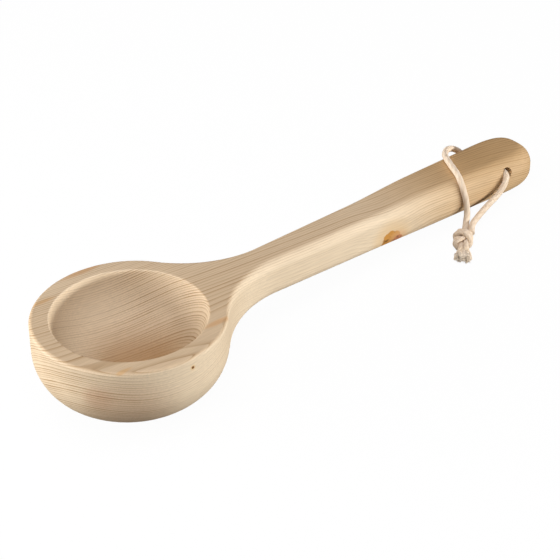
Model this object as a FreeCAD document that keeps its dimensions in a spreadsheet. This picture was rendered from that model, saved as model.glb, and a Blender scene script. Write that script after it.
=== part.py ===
import FreeCAD, Part
import math
import os

import Sketcher
from FreeCAD import Placement, Rotation, Vector

# Wooden sauna ladle, in millimetres.
# The ladle is drawn level: bowl axis on Z, base on z = 0, handle along +X.
# It is then laid down as it comes to rest on a table, which is tipped a few
# degrees, because the handle outweighs the bowl. The table is z = 0 and the
# origin is under the middle of the ladle.

# Driving sizes: name in the sheet, value, what it is
SIZES = (
    ("bowl_radius", 62.5, "outside radius of the bowl"),
    ("rim_height", 53.5, "height of the rim above the flat base"),
    ("base_round", 33.0, "rounding from the bowl's wall to its flat base"),
    ("rim_width", 12.5, "width of the rim, from the hollow to the bowl's wall"),
    ("hollow_depth", 41.0, "depth of the hollow below the rim"),
    ("mouth_round", 1.2, "rounding of the rim's inner edge"),
    ("edge_round", 2.5, "rounding of the rim's outer edge and the neck's edges"),
    ("neck_radius", 78.5, "plan radius of each side of the neck"),
    ("neck_overlap", 0.05, "how far each neck curve dips into the bowl's wall"),
    ("neck_half_width", 13.0, "half width of the handle where the neck ends"),
    ("handle_reach", 344.0, "from the bowl's axis to the handle's end"),
    ("handle_thickness", 27.0, "from the handle's top face to its underside"),
    ("end_half_width", 18.6, "half width of the handle at its end"),
    ("end_corner", 12.0, "plan radius of the handle's end corners"),
    ("grip_round", 7.0, "rounding of the handle's edges at its end"),
    ("hole_radius", 4.0, "radius of the cord hole across the handle"),
    ("hole_from_end", 30.0, "from the handle's end to the cord hole's axis"),
    ("hole_below_top", 7.0, "from the handle's top face to the cord hole's axis"),
    ("cutter_margin", 5.0, "how far each cutting shape runs past the wood"),
    ("cord_radius", 2.25, "radius of the cord"),
    ("strand_gap", 0.2, "between the two strands where they enter the knot"),
    ("strand_lead", 7.5, "straight length of each strand next to the knot"),
    ("knot_x", 118.3, "where the top of the knot lies on the table, along x"),
    ("knot_y", -34.2, "where the top of the knot lies on the table, along y"),
    ("knot_heading", -139.3, "which way the knot points on the table, in degrees from +X"),
    ("knot_waist", 4.8, "radius of the knot where the strands enter and where the ends leave"),
    ("knot_radius", 7.2, "largest radius of the knot"),
    ("knot_length", 23.5, "length of the knot without its loose ends"),
    ("tuft_radius", 6.0, "largest radius of the frayed ends"),
    ("tuft_length", 13.5, "length of the frayed ends"),
)

# The cord's way from the knot to the hole, through it and back over the handle.
# Each strand's last two points belong to the knot and aren't listed here.
CORD_WAY = (
    (138.7, -28.1, 9.3),
    (151.6, -26.5, 13.4),
    (161.3, -25.9, 17.2),
    (170.6, -23.8, 22.1),
    (174.1, -8.0, 20.9),
    (172.4, 9.0, 20.6),
    (171.6, 21.0, 21.3),
    (169.6, 26.8, 23.7),
    (164.1, 28.2, 28.6),
    (157.0, 24.5, 33.9),
    (148.8, 17.8, 38.2),
    (140.0, 7.0, 40.4),
    (133.0, -7.0, 40.9),
    (127.4, -17.6, 41.2),
    (123.9, -24.6, 38.0),
    (124.4, -26.2, 30.3),
    (127.0, -24.4, 22.6),
    (128.8, -23.5, 15.4),
    (125.8, -25.9, 10.0),
)

# Each bend of the cord takes up this share of the shorter run beside it
BEND_SHARE = 0.45

START, END, CENTRE = 1, 2, 3
X_AXIS, Y_AXIS = -1, -2
ORIGIN = (X_AXIS, START)
QUARTER = math.pi / 2


def make_sheet(doc, sizes):
    """Write the driving sizes to a sheet, one row each, with an alias."""
    sheet = doc.addObject("Spreadsheet::Sheet", "sizes")
    for row, (name, value, meaning) in enumerate(sizes, start=1):
        sheet.set(f"A{row}", meaning)
        sheet.set(f"B{row}", str(value))
        sheet.setAlias(f"B{row}", name)
    doc.recompute()
    return sheet


def add_body(doc, name):
    """Add an empty body with its own origin planes."""
    body = doc.addObject("PartDesign::Body", name)
    body.Label = name
    return body


def add_sketch(body, name, role):
    """Add a sketch on one of the body's own origin planes."""
    sketch = body.newObject("Sketcher::SketchObject", name)
    plane = next(item for item in body.Origin.OriginFeatures if item.Role == role)
    sketch.AttachmentSupport = [(plane, "")]
    sketch.MapMode = "FlatFace"
    return sketch


def add_line(sketch, start, end):
    """Draw a straight line between two (x, y) points."""
    return sketch.addGeometry(Part.LineSegment(Vector(*start, 0), Vector(*end, 0)), False)


def add_arc(sketch, centre, radius, start_angle, end_angle):
    """Draw an arc, anticlockwise from start_angle to end_angle in radians."""
    circle = Part.Circle(Vector(*centre, 0), Vector(0, 0, 1), radius)
    return sketch.addGeometry(Part.ArcOfCircle(circle, start_angle, end_angle), False)


def rule(sketch, kind, *where):
    """Add one geometric rule, such as Horizontal or Tangent."""
    return sketch.addConstraint(Sketcher.Constraint(kind, *where))


def bind(sketch, index, name, formula):
    """Name a dimension and tie it to the sheet."""
    sketch.renameConstraint(index, name)
    sketch.setExpression(f"Constraints.{name}", formula)


def set_radius(sketch, arc, name, formula):
    """Give an arc its radius from the sheet."""
    bind(sketch, rule(sketch, "Radius", arc, sketch.Geometry[arc].Radius), name, formula)


def set_x(sketch, geometry, point, name, formula):
    """Give a point its distance along x from the sheet."""
    value = sketch.getPoint(geometry, point).x
    bind(sketch, rule(sketch, "DistanceX", *ORIGIN, geometry, point, value), name, formula)


def set_y(sketch, geometry, point, name, formula):
    """Give a point its distance along y from the sheet."""
    value = sketch.getPoint(geometry, point).y
    bind(sketch, rule(sketch, "DistanceY", *ORIGIN, geometry, point, value), name, formula)


def revolve(body, sketch, name):
    """Turn a profile right round the sketch's vertical axis."""
    feature = body.newObject("PartDesign::Revolution", name)
    feature.Profile = sketch
    feature.ReferenceAxis = (sketch, ["V_Axis"])
    feature.Angle = 360
    return feature


def make_bowl(doc, size):
    """The bowl's outside: flat base, rounding, upright wall and rounded rim."""
    body = add_body(doc, "bowl_outside")
    sketch = add_sketch(body, "bowl_profile", "XZ_Plane")
    flat = size["bowl_radius"] - size["base_round"]
    wall = size["bowl_radius"]
    rim = size["rim_height"]
    edge = size["edge_round"]
    base = add_line(sketch, (0, 0), (flat, 0))
    rounding = add_arc(sketch, (flat, size["base_round"]), size["base_round"], -QUARTER, 0)
    side = add_line(sketch, (wall, size["base_round"]), (wall, rim - edge))
    lip = add_arc(sketch, (wall - edge, rim - edge), edge, 0, QUARTER)
    top = add_line(sketch, (wall - edge, rim), (0, rim))
    axis = add_line(sketch, (0, rim), (0, 0))
    rule(sketch, "Coincident", base, START, *ORIGIN)
    rule(sketch, "Tangent", base, END, rounding, START)
    rule(sketch, "Tangent", rounding, END, side, START)
    rule(sketch, "Tangent", side, END, lip, START)
    rule(sketch, "Tangent", lip, END, top, START)
    rule(sketch, "Coincident", top, END, axis, START)
    rule(sketch, "Coincident", axis, END, base, START)
    rule(sketch, "Horizontal", base)
    rule(sketch, "Horizontal", top)
    rule(sketch, "Vertical", side)
    rule(sketch, "Vertical", axis)
    set_x(sketch, side, START, "wall", "sizes.bowl_radius")
    set_y(sketch, top, START, "rim", "sizes.rim_height")
    set_radius(sketch, rounding, "base_rounding", "sizes.base_round")
    set_radius(sketch, lip, "rim_rounding", "sizes.edge_round")
    revolve(body, sketch, "bowl_turned")
    return body


def neck_centre(size):
    """Plan centre of the neck curve on the +Y side."""
    y = size["neck_half_width"] + size["neck_radius"]
    reach = size["bowl_radius"] + size["neck_radius"] - size["neck_overlap"]
    return math.sqrt(reach ** 2 - y ** 2), y


def draw_outline(body, size):
    """Plan outline of neck and handle: it starts inside the bowl's wall."""
    sketch = add_sketch(body, "plan_outline", "XY_Plane")
    neck = size["neck_radius"]
    corner = size["end_corner"]
    centre_x, centre_y = neck_centre(size)
    corner_x = size["handle_reach"] - corner
    corner_y = size["end_half_width"] - corner
    across = math.hypot(corner_x - centre_x, corner_y - centre_y)
    bearing = math.atan2(corner_y - centre_y, corner_x - centre_x)
    flare = bearing + math.asin((neck + corner) / across)
    inward = math.atan2(-centre_y, -centre_x)
    root = (centre_x + neck * math.cos(inward), centre_y + neck * math.sin(inward))
    waist = (centre_x + neck * math.sin(flare), centre_y - neck * math.cos(flare))
    heel = (corner_x - corner * math.sin(flare), corner_y + corner * math.cos(flare))
    tip = (size["handle_reach"], corner_y)

    def below(point):
        return point[0], -point[1]

    neck_far = add_arc(sketch, (centre_x, centre_y), neck, inward, flare - QUARTER)
    side_far = add_line(sketch, waist, heel)
    corner_far = add_arc(sketch, (corner_x, corner_y), corner, 0, QUARTER + flare)
    end = add_line(sketch, tip, below(tip))
    corner_near = add_arc(sketch, (corner_x, -corner_y), corner, -QUARTER - flare, 0)
    side_near = add_line(sketch, below(heel), below(waist))
    neck_near = add_arc(sketch, (centre_x, -centre_y), neck, QUARTER - flare, -inward)
    back = add_line(sketch, below(root), root)
    spoke = add_line(sketch, (0, 0), (centre_x, centre_y))
    sketch.setConstruction(spoke, True)

    rule(sketch, "Tangent", neck_far, END, side_far, START)
    rule(sketch, "Tangent", side_far, END, corner_far, END)
    rule(sketch, "Tangent", corner_far, START, end, START)
    rule(sketch, "Coincident", end, END, corner_near, END)
    rule(sketch, "Coincident", corner_near, START, side_near, START)
    rule(sketch, "Coincident", side_near, END, neck_near, START)
    rule(sketch, "Coincident", neck_near, END, back, START)
    rule(sketch, "Coincident", back, END, neck_far, START)
    rule(sketch, "Symmetric", end, START, end, END, X_AXIS)
    rule(sketch, "Symmetric", side_far, START, side_near, END, X_AXIS)
    rule(sketch, "Symmetric", side_far, END, side_near, START, X_AXIS)
    rule(sketch, "Symmetric", neck_far, START, neck_near, END, X_AXIS)
    rule(sketch, "Equal", neck_far, neck_near)
    rule(sketch, "Equal", corner_far, corner_near)
    rule(sketch, "Coincident", spoke, START, *ORIGIN)
    rule(sketch, "Coincident", spoke, END, neck_far, CENTRE)
    rule(sketch, "PointOnObject", neck_far, START, spoke)
    spoke_length = rule(sketch, "Distance", spoke, math.hypot(centre_x, centre_y))
    bind(sketch, spoke_length, "spoke", "sizes.bowl_radius + sizes.neck_radius - sizes.neck_overlap")
    set_radius(sketch, neck_far, "neck", "sizes.neck_radius")
    set_radius(sketch, corner_far, "corner", "sizes.end_corner")
    set_x(sketch, end, START, "reach", "sizes.handle_reach")
    set_y(sketch, corner_far, CENTRE, "end_width", "sizes.end_half_width - sizes.end_corner")
    set_y(sketch, neck_far, CENTRE, "neck_width", "sizes.neck_half_width + sizes.neck_radius")
    return sketch


def make_handle(doc, size):
    """Neck and handle, sawn from a board, edges still sharp."""
    body = add_body(doc, "handle_blank")
    outline = draw_outline(body, size)
    outline.setExpression("AttachmentOffset.Base.z", "sizes.rim_height - sizes.handle_thickness")
    pad = body.newObject("PartDesign::Pad", "handle_sawn")
    pad.Profile = outline
    pad.setExpression("Length", "sizes.handle_thickness")
    return body


def edge_rounds(shape, size):
    """Radii at both ends of each long edge: small at the neck, full at the end."""
    root = shape.BoundBox.XMin
    neck_end = neck_centre(size)[0]
    tolerance = 1.0

    def radius_at(x):
        return size["edge_round"] if x < neck_end + tolerance else size["grip_round"]

    rounds = []
    for index, edge in enumerate(shape.Edges, start=1):
        box = edge.BoundBox
        upright = box.ZLength > tolerance and box.XLength < tolerance and box.YLength < tolerance
        inside_bowl = box.XMax < root + tolerance
        if upright or inside_bowl:
            continue
        first, last = (edge.valueAt(value) for value in edge.ParameterRange)
        rounds.append((index, radius_at(first.x), radius_at(last.x)))
    return rounds


def round_handle(doc, blank, size):
    """The handle's long edges rounded over, more and more towards its end."""
    rounded = doc.addObject("Part::Fillet", "handle_rounded")
    rounded.Base = blank
    rounded.Edges = edge_rounds(blank.Shape, size)
    return rounded


def mouth_radius(size):
    """Radius of the hollow at the rim."""
    return size["bowl_radius"] - size["rim_width"]


def make_hollow(doc, size):
    """Cutter for the hollow: part of a ball, with room above the rim."""
    body = add_body(doc, "hollow")
    sketch = add_sketch(body, "hollow_profile", "XZ_Plane")
    mouth = mouth_radius(size)
    depth = size["hollow_depth"]
    rim = size["rim_height"]
    above = rim + size["cutter_margin"]
    ball = (mouth ** 2 + depth ** 2) / (2 * depth)
    centre = (0, rim - depth + ball)
    climb = math.atan2(rim - centre[1], mouth)
    wall = add_arc(sketch, centre, ball, -QUARTER, climb)
    side = add_line(sketch, (mouth, rim), (mouth, above))
    lid = add_line(sketch, (mouth, above), (0, above))
    axis = add_line(sketch, (0, above), (0, rim - depth))
    rule(sketch, "Coincident", wall, END, side, START)
    rule(sketch, "Coincident", side, END, lid, START)
    rule(sketch, "Coincident", lid, END, axis, START)
    rule(sketch, "Coincident", axis, END, wall, START)
    rule(sketch, "PointOnObject", wall, CENTRE, Y_AXIS)
    rule(sketch, "PointOnObject", lid, END, Y_AXIS)
    rule(sketch, "Vertical", axis)
    rule(sketch, "Vertical", side)
    rule(sketch, "Horizontal", lid)
    set_x(sketch, side, START, "mouth", "sizes.bowl_radius - sizes.rim_width")
    set_y(sketch, side, START, "rim", "sizes.rim_height")
    set_y(sketch, axis, END, "bottom", "sizes.rim_height - sizes.hollow_depth")
    set_y(sketch, side, END, "above", "sizes.rim_height + sizes.cutter_margin")
    revolve(body, sketch, "hollow_turned")
    return body


def make_drill(doc):
    """Cutter for the cord hole, right across the handle's end."""
    drill = doc.addObject("Part::Cylinder", "drill")
    drill.Placement = Placement(Vector(), Rotation(Vector(1, 0, 0), 90))
    drill.setExpression("Radius", "sizes.hole_radius")
    drill.setExpression("Height", "2 * (sizes.end_half_width + sizes.cutter_margin)")
    drill.setExpression("Placement.Base.x", "sizes.handle_reach - sizes.hole_from_end")
    drill.setExpression("Placement.Base.y", "sizes.end_half_width + sizes.cutter_margin")
    drill.setExpression("Placement.Base.z", "sizes.rim_height - sizes.hole_below_top")
    return drill


def boolean(doc, kind, name, base, tool):
    """Join or cut two shapes."""
    result = doc.addObject(kind, name)
    result.Base = base
    result.Tool = tool
    result.Refine = True
    return result


def round_mouth(doc, carved, size):
    """The inner edge of the rim eased."""
    doc.recompute()
    across = 2 * mouth_radius(size)
    flat = 0.01
    edges = [
        index
        for index, edge in enumerate(carved.Shape.Edges, start=1)
        if edge.BoundBox.ZLength < flat
        and abs(edge.BoundBox.ZMax - size["rim_height"]) < flat
        and abs(edge.Length - math.pi * across) < flat
    ]
    eased = doc.addObject("Part::Fillet", "ladle")
    eased.Base = carved
    eased.Edges = [(index, size["mouth_round"], size["mouth_round"]) for index in edges]
    return eased


def rest_placement(size, level):
    """Where the ladle comes to rest: on the bowl's rounding and the handle's end."""
    bowl_x = size["bowl_radius"] - size["base_round"]
    bowl_z = size["base_round"]
    grip_x = size["handle_reach"] - size["grip_round"]
    grip_z = size["rim_height"] - size["handle_thickness"] + size["grip_round"]
    apart = math.hypot(grip_x - bowl_x, grip_z - bowl_z)
    rise = math.atan2(grip_z - bowl_z, grip_x - bowl_x)
    tilt = rise + math.asin((size["base_round"] - size["grip_round"]) / apart)
    turn = Rotation(Vector(0, 1, 0), math.degrees(tilt))
    lift = bowl_x * math.sin(tilt) - bowl_z * math.cos(tilt) + size["base_round"]
    laid = level.copy()
    laid.Placement = Placement(Vector(0, 0, lift), turn)
    box = laid.optimalBoundingBox(False)
    return Placement(Vector(-(box.XMin + box.XMax) / 2, 0, lift), turn)


def knot_frame(size):
    """Middle of the knot's top, which way the knot points, and across it."""
    heading = math.radians(size["knot_heading"])
    top = Vector(size["knot_x"], size["knot_y"], size["knot_radius"])
    along = Vector(math.cos(heading), math.sin(heading), 0)
    across = Vector(-math.sin(heading), math.cos(heading), 0)
    return top, along, across


def cord_route(size):
    """All points of the cord's route, from one end in the knot to the other."""
    top, along, across = knot_frame(size)
    aside = across * (size["cord_radius"] + size["strand_gap"] / 2)
    lead = along * size["strand_lead"]
    leaving = [top + aside, top + aside - lead]
    coming_back = [top - aside - lead, top - aside]
    return leaving + [Vector(*point) for point in CORD_WAY] + coming_back


def bend(before, corner, after):
    """Tangent arc at a corner of the route, with its radius."""
    back = (before - corner).normalize()
    ahead = (after - corner).normalize()
    reach = BEND_SHARE * min((before - corner).Length, (after - corner).Length)
    turn = math.pi - back.getAngle(ahead)
    radius = reach / math.tan(turn / 2)
    towards = (back + ahead).normalize()
    middle = corner + towards * (radius / math.cos(turn / 2) - radius)
    return Part.Arc(corner + back * reach, middle, corner + ahead * reach), radius


def cord_path(route):
    """Straight runs joined by tangent arcs."""
    edges = []
    radii = []
    here = route[0]
    for before, corner, after in zip(route, route[1:], route[2:]):
        arc, radius = bend(before, corner, after)
        edges.append(Part.LineSegment(here, arc.StartPoint).toShape())
        edges.append(arc.toShape())
        radii.append(round(radius, 1))
        here = arc.EndPoint
    edges.append(Part.LineSegment(here, route[-1]).toShape())
    print("cord radii:", radii)
    return Part.Wire(edges)


def make_cord(doc, size):
    """A plain tube along the cord's route."""
    route = cord_route(size)
    path = doc.addObject("Part::Feature", "cord_path")
    path.Shape = cord_path(route)
    section = doc.addObject("Part::Circle", "cord_section")
    section.setExpression("Radius", "sizes.cord_radius")
    section.Placement = Placement(route[0], Rotation(Vector(0, 0, 1), route[1] - route[0]))
    cord = doc.addObject("Part::Sweep", "cord")
    cord.Sections = [section]
    cord.Spine = (path, [f"Edge{index + 1}" for index in range(len(path.Shape.Edges))])
    cord.Solid = True
    cord.Frenet = False
    doc.recompute()
    expected = math.pi * size["cord_radius"] ** 2 * path.Shape.Length
    print(f"cord length {path.Shape.Length:.1f}, volume {cord.Shape.Volume:.0f} of {expected:.0f}")
    if abs(cord.Shape.Volume / expected - 1) > 0.01:
        raise RuntimeError("the cord's volume is not its section times its length")
    return cord


def bulge(waist, widest, length):
    """Radius of the arc that swells from waist to widest and back over a length."""
    swell = widest - waist
    return ((length / 2) ** 2 + swell ** 2) / (2 * swell)


def make_knot(doc, size):
    """The knot and its frayed ends, turned about the knot's own axis."""
    body = add_body(doc, "cord_knot")
    sketch = add_sketch(body, "knot_profile", "XZ_Plane")
    waist = size["knot_waist"]
    length = size["knot_length"]
    end = length + size["tuft_length"]
    swellings = []
    for widest, low, high in ((size["knot_radius"], 0, length), (size["tuft_radius"], length, end)):
        radius = bulge(waist, widest, high - low)
        half = math.asin((high - low) / 2 / radius)
        swellings.append(add_arc(sketch, (widest - radius, (low + high) / 2), radius, -half, half))
    lump, tuft = swellings
    top = add_line(sketch, (0, 0), (waist, 0))
    tip = add_line(sketch, (waist, end), (0, end))
    axis = add_line(sketch, (0, end), (0, 0))
    rule(sketch, "Coincident", top, START, *ORIGIN)
    rule(sketch, "Coincident", top, END, lump, START)
    rule(sketch, "Coincident", lump, END, tuft, START)
    rule(sketch, "Coincident", tuft, END, tip, START)
    rule(sketch, "Coincident", tip, END, axis, START)
    rule(sketch, "Coincident", axis, END, top, START)
    rule(sketch, "Horizontal", top)
    rule(sketch, "Horizontal", tip)
    rule(sketch, "Vertical", axis)
    set_x(sketch, top, END, "top_radius", "sizes.knot_waist")
    set_x(sketch, lump, END, "waist", "sizes.knot_waist")
    set_x(sketch, tuft, END, "tip_radius", "sizes.knot_waist")
    set_y(sketch, lump, END, "knot_length", "sizes.knot_length")
    set_y(sketch, tuft, END, "end", "sizes.knot_length + sizes.tuft_length")
    for arc, name, widest, span in (
        (lump, "lump_bulge", "sizes.knot_radius", "sizes.knot_length"),
        (tuft, "tuft_bulge", "sizes.tuft_radius", "sizes.tuft_length"),
    ):
        swell = f"({widest} - sizes.knot_waist)"
        set_radius(sketch, arc, name, f"(({span} / 2)^2 + {swell}^2) / (2 * {swell})")
    revolve(body, sketch, "knot_turned")
    start, along, _ = knot_frame(size)
    body.Placement = Placement(start, Rotation(Vector(0, 0, 1), along))
    return body


def check(doc):
    """Stop if any object failed or any shape is unsound."""
    for item in doc.Objects:
        if "Invalid" in item.State or "Error" in item.State:
            raise RuntimeError(f"{item.Name} failed")
        shape = getattr(item, "Shape", None)
        if item.TypeId.startswith("App::") or shape is None:
            continue
        if shape.isNull() or not shape.isValid():
            raise RuntimeError(f"{item.Name} is not sound")


def main():
    size = {name: value for name, value, _ in SIZES}
    doc = FreeCAD.newDocument("sauna_ladle")
    make_sheet(doc, SIZES)
    bowl = make_bowl(doc, size)
    blank = make_handle(doc, size)
    doc.recompute()
    handle = round_handle(doc, blank, size)
    outside = boolean(doc, "Part::Fuse", "outside", bowl, handle)
    hollowed = boolean(doc, "Part::Cut", "hollowed", outside, make_hollow(doc, size))
    drilled = boolean(doc, "Part::Cut", "drilled", hollowed, make_drill(doc))
    ladle = round_mouth(doc, drilled, size)
    doc.recompute()
    ladle.Placement = rest_placement(size, ladle.Shape)
    pieces = [ladle, make_cord(doc, size), make_knot(doc, size)]
    doc.recompute()
    check(doc)
    os.makedirs("parts", exist_ok=True)
    for piece in pieces:
        box = piece.Shape.optimalBoundingBox(False)
        print(f"{piece.Label}: {piece.Shape.Volume:.0f} mm3, z from {box.ZMin:.3f} to {box.ZMax:.2f},"
              f" x from {box.XMin:.2f} to {box.XMax:.2f}")
        piece.Shape.exportStep(f"parts/{piece.Label}.step")


main()
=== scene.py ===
import logging
import math
from dataclasses import dataclass
from enum import Enum

import bmesh
import bpy
from mathutils import Matrix, Vector


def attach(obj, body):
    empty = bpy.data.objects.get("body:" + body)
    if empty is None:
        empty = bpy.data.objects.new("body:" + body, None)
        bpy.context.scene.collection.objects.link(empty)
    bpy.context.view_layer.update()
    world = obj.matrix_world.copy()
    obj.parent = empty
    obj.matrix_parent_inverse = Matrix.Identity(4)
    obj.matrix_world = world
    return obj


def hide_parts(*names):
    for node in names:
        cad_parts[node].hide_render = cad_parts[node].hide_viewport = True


# Wooden sauna ladle with a knotted hanging cord. Sizes are in millimetres and are
# turned to metres where a mesh is made. "Level" means the ladle's own frame: the
# bowl's axis on Z, its flat base on z = 0, the handle along +X.

MM = 0.001
# how near each other two corners of a mesh are one corner, in metres
WELD = 1e-6

# a colour mix's own sockets, among those for other kinds of value on the same node
FIRST, SECOND, MIXED = 6, 7, 2
# the sockets of a random number, among those for other kinds of value
LOWEST, HIGHEST, SEED, CHANCE = 2, 3, 8, 1

Tree = bpy.types.NodeTree
Socket = bpy.types.NodeSocket

log = logging.getLogger("sauna_ladle")

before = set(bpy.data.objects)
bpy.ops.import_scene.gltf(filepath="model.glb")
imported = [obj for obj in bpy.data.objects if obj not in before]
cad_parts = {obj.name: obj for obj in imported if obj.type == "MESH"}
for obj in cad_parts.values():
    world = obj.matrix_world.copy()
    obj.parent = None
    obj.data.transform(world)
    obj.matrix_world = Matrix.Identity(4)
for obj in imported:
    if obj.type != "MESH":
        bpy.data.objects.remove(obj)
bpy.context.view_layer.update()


def linear(hex_colour: str) -> tuple[float, float, float, float]:
    """Turn an sRGB hex colour into linear RGBA.

    Args:
        hex_colour: six hex digits after a hash sign.

    Returns:
        The linear colour with full alpha.
    """
    parts = [int(hex_colour[i:i + 2], 16) / 255 for i in (1, 3, 5)]
    curve = [c / 12.92 if c <= 0.04045 else ((c + 0.055) / 1.055) ** 2.4 for c in parts]
    return (*curve, 1.0)


def add_node(tree: Tree, kind: str, *values: object, sockets: dict | None = None,
             **settings: object) -> bpy.types.Node:
    """Add a node, with its settings, its values and its links.

    Args:
        tree: the node tree it goes into.
        kind: Blender's name of the node.
        values: a value or another node's output for each input in order, or None to leave it.
        sockets: the same for inputs given by name.
        settings: the node's own properties.

    Returns:
        The new node.
    """
    node = tree.nodes.new(kind)
    for name, value in settings.items():
        setattr(node, name, value)
    for key, value in [*enumerate(values), *(sockets or {}).items()]:
        if isinstance(value, Socket):
            tree.links.new(value, node.inputs[key])
        elif value is not None:
            node.inputs[key].default_value = value
    return node


def new_material(name: str) -> tuple[bpy.types.Material, Tree, bpy.types.Node]:
    """Start a material with an empty tree and its output.

    Args:
        name: the finish's common name and how it was made.

    Returns:
        The material, its tree and its output node.
    """
    material = bpy.data.materials.new(name)
    material.use_nodes = True
    material.node_tree.nodes.clear()
    return material, material.node_tree, add_node(material.node_tree, "ShaderNodeOutputMaterial")


def show(name: str, data: bpy.types.ID, material: bpy.types.Material | None = None) -> bpy.types.Object:
    """Put a mesh, curve, lamp or camera into the scene, at the origin.

    Args:
        name: the object's name.
        data: what it shows.
        material: its finish, if it has one.

    Returns:
        The new object.
    """
    piece = bpy.data.objects.new(name, data)
    bpy.context.scene.collection.objects.link(piece)
    if material is not None:
        data.materials.append(material)
    return piece


def baked(piece: bpy.types.Object, name: str) -> bpy.types.Mesh:
    """Read a piece's finished shape, after its modifiers or from its curve.

    Args:
        piece: the object to read.
        name: the new mesh's name.

    Returns:
        A plain mesh.
    """
    bpy.context.view_layer.update()
    ready = piece.evaluated_get(bpy.context.evaluated_depsgraph_get())
    mesh = bpy.data.meshes.new_from_object(ready)
    mesh.name = name
    return mesh


@dataclass(frozen=True)
class RestingPlace:
    """How the level ladle is laid down: tipped on to the end of its handle."""

    tilt: float = math.radians(4.94347)
    shift: float = -143.60345
    lift: float = 2.66485

    def matrix(self) -> Matrix:
        """Level millimetres to metres in the row's frame."""
        move = Matrix.Translation(Vector((self.shift, 0, self.lift)) * MM)
        return move @ Matrix.Rotation(self.tilt, 4, "Y") @ Matrix.Scale(MM, 4)

    def place(self, point: tuple[float, float, float]) -> Vector:
        """A level point in metres in the row's frame."""
        return self.matrix() @ Vector(point)

    def level_coordinates(self, tree: Tree) -> Socket:
        """Object coordinates turned back to level millimetres.

        Args:
            tree: the material's tree.

        Returns:
            The vector output.
        """
        here = add_node(tree, "ShaderNodeTexCoord").outputs["Object"]
        return add_node(tree, "ShaderNodeMapping", here, (self.shift * MM, 0, self.lift * MM),
                        (0, self.tilt, 0), (MM, MM, MM), vector_type="TEXTURE").outputs[0]


@dataclass(frozen=True)
class Knot:
    """A branch cut through at the wood's surface, in level millimetres."""

    centre: tuple[float, float, float]
    radius: float
    push: float
    colour: str
    halo: str


@dataclass(frozen=True)
class TintPatch:
    """A patch of colour, long in the grain's direction, in level millimetres: most are coloured heartwood or
    resin, two are painted shade.
    """

    centre: tuple[float, float, float]
    radius: float
    stretch: float
    strength: float
    colour: str


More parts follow.
